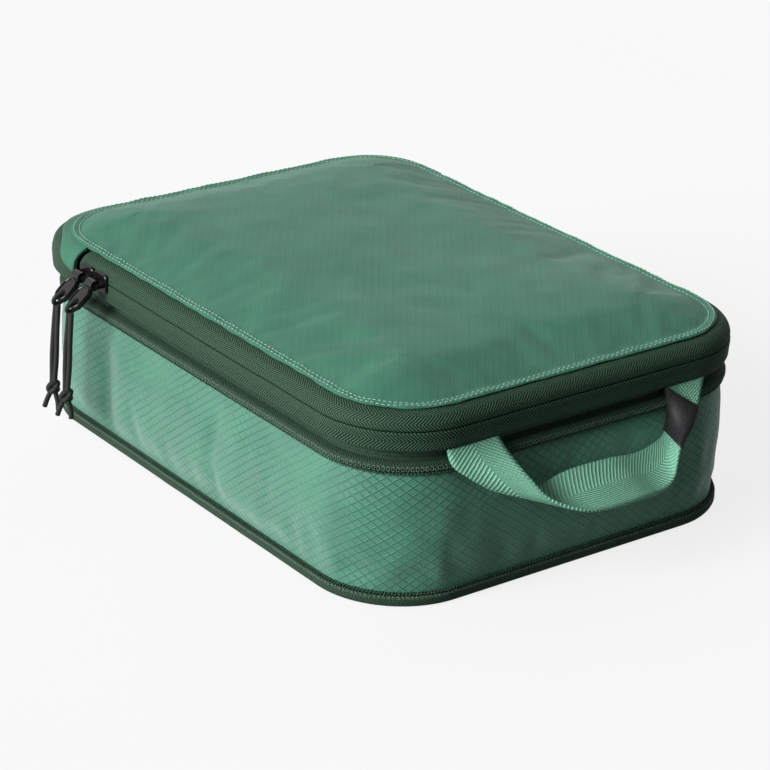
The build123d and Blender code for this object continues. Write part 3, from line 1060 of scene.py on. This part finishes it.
HANDLE_EDGE_A = ((128.5, -66, 67.5), (131, -64, 59), (133, -55, 51.5), (134.5, -43, 44.5), (137, -29, 43),
                 (139, -15, 47.6), (139, 6, 47.6), (137, 22, 45), (134, 35, 45), (131, 44, 47.5),
                 (130, 45, 57), (128.5, 43, 67.5))
HANDLE_EDGE_B = ((128.5, -42, 67), (136, -41, 61), (146, -38.5, 54), (153, -33, 46), (158, -20, 40),
                 (159, -6, 38), (157.5, 10, 37), (154.5, 22, 35.5), (152, 31, 38), (146, 39, 47.5),
                 (138, 53, 55.5), (128.5, 65, 67))


def handle_strap():
    spans_each = 9
    first = curve_through(HANDLE_EDGE_A, spans_each)
    second = curve_through(HANDLE_EDGE_B, spans_each)
    across_steps = 12
    half = 0.75
    grid, us = [], []
    distance = 0.0
    for k, (a, b) in enumerate(zip(first, second)):
        after = min(k + 1, len(first) - 1)
        before = max(k - 1, 0)
        along = ((first[after] + second[after]) - (first[before] + second[before])).normalized()
        normal = along.cross((b - a).normalized()).normalized()
        if k:
            distance += ((first[k] + second[k]) / 2 - (first[k - 1] + second[k - 1]) / 2).length
        cupped = 0.5 * math.sin(math.pi * k / (len(first) - 1))
        face = []
        for j in range(across_steps + 1):
            share = j / across_steps
            edge = abs(share - 0.5) * 2
            lift = cupped * (1 - edge ** 2)
            face.append((a.lerp(b, share) + normal * lift, half * (1.0 if edge < 0.9 else 0.8)))
        front = [p + normal * h for p, h in face]
        back = [p - normal * h for p, h in face[::-1]]
        grid.append(front + back)
        us.append(distance)
    vs = [WEBBING * j / across_steps for j in range(across_steps + 1)]
    obj = grid_mesh("handle_strap", grid, us, vs + vs[::-1] + [vs[0]], ring=True)
    dress(obj, "webbing")
    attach(obj, "handle")
    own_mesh(obj)
    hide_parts("handle_webbing")
    return first, second


def handle_tag(first, second):
    """Folded woven tag wrapped round the handle's far leg, its upper end slanted."""
    def along_edge(edge, place):
        low = min(int(place), len(edge) - 2)
        return edge[low].lerp(edge[low + 1], place - low)

    last = len(first) - 1
    start, stop_first, stop_second = 0.815 * last, 0.985 * last, 0.925 * last
    rows, across_steps, reach = 14, 6, 1.35
    grid = []
    for k in range(rows + 1):
        share = k / rows
        places = (start + (stop_first - start) * share, start + (stop_second - start) * share)
        a, b = along_edge(first, places[0]), along_edge(second, places[1])
        a_on, b_on = along_edge(first, places[0] - 1), along_edge(second, places[1] - 1)
        normal = (a + b - a_on - b_on).cross(b - a).normalized()
        across = (b - a).normalized()
        outline = [a - across * 1.1]
        outline += [a.lerp(b, j / across_steps) - normal * reach for j in range(across_steps + 1)]
        outline += [b + across * 1.1]
        outline += [b.lerp(a, j / across_steps) + normal * reach for j in range(across_steps + 1)]
        grid.append(outline)
    us = [2.0 * k for k in range(len(grid))]
    obj = grid_mesh("handle_tag", grid, us, [3.0 * j for j in range(len(grid[0]) + 1)], ring=True)
    dress(obj, "label")
    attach(obj, "handle")
    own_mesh(obj)
    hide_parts("handle_label")


handle_tag(*handle_strap())


# ---------------------------------------------------------------- sliders, pulls and inner pieces

def pull_point(slider_x, x, y, z):
    """Point in a near pull's own plane: along the bar, up the pull, and out of its face."""
    up = Vector((0, math.sin(LEAN), math.cos(LEAN)))
    out = Vector((0, -math.cos(LEAN), math.sin(LEAN)))
    return Vector((slider_x, -(WIDTH / 2 + BAR_OUT), SLIT_Z)) + Vector((x, 0, 0)) + up * y + out * z


def pull_trim(number, slider_x):
    """Raised rim round the pull's face, and the cord's loop through its eye."""
    half, top, bottom, steps = 3.6, -6.2, -9.6, 10
    rim = []
    for step in range(steps + 1):
        angle = math.pi * step / steps
        rim.append(pull_point(slider_x, half * math.cos(angle), top + half * math.sin(angle), 0.85))
    for step in range(steps + 1):
        angle = math.pi + math.pi * step / steps
        rim.append(pull_point(slider_x, half * math.cos(angle), bottom + half * math.sin(angle), 0.85))
    obj = tube_mesh(spline(f"pull_rim_{number}", rim, 0.55, closed=True))
    dress(obj, "pull_plastic")
    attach(obj, f"pull_{number}")
    loop = [pull_point(slider_x, 0.6 * math.sin(2 * math.pi * k / 12),
                       -12.4 + 3.1 * math.sin(2 * math.pi * k / 12), 1.9 * math.cos(2 * math.pi * k / 12))
            for k in range(12)]
    obj = tube_mesh(spline(f"cord_eye_{number}", loop, 1.0, closed=True))
    dress(obj, "cord")
    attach(obj, f"pull_{number}")


for number, slider_x in enumerate(SLIDER_X, start=1):
    pull_trim(number, slider_x)

FINISHES = {
    "base_binding": "binding", "upper_binding": "binding", "lid_binding": "binding", "handle_ends": "webbing",
    "main_slider_1": "slider_metal", "main_slider_2": "slider_metal", "compression_slider": "slider_metal",
    "pull_tab_1": "pull_plastic", "pull_tab_2": "pull_plastic", "compression_pull": "pull_plastic",
}
for name, finish in FINISHES.items():
    obj = bpy.data.objects[name]
    for slot in obj.material_slots:
        slot.material = mats[finish]
    if finish in ("slider_metal", "pull_plastic"):
        bevel = obj.modifiers.new("edges", "BEVEL")
        bevel.width = 0.25 * MM
        bevel.segments = 2
        bevel.limit_method = "ANGLE"
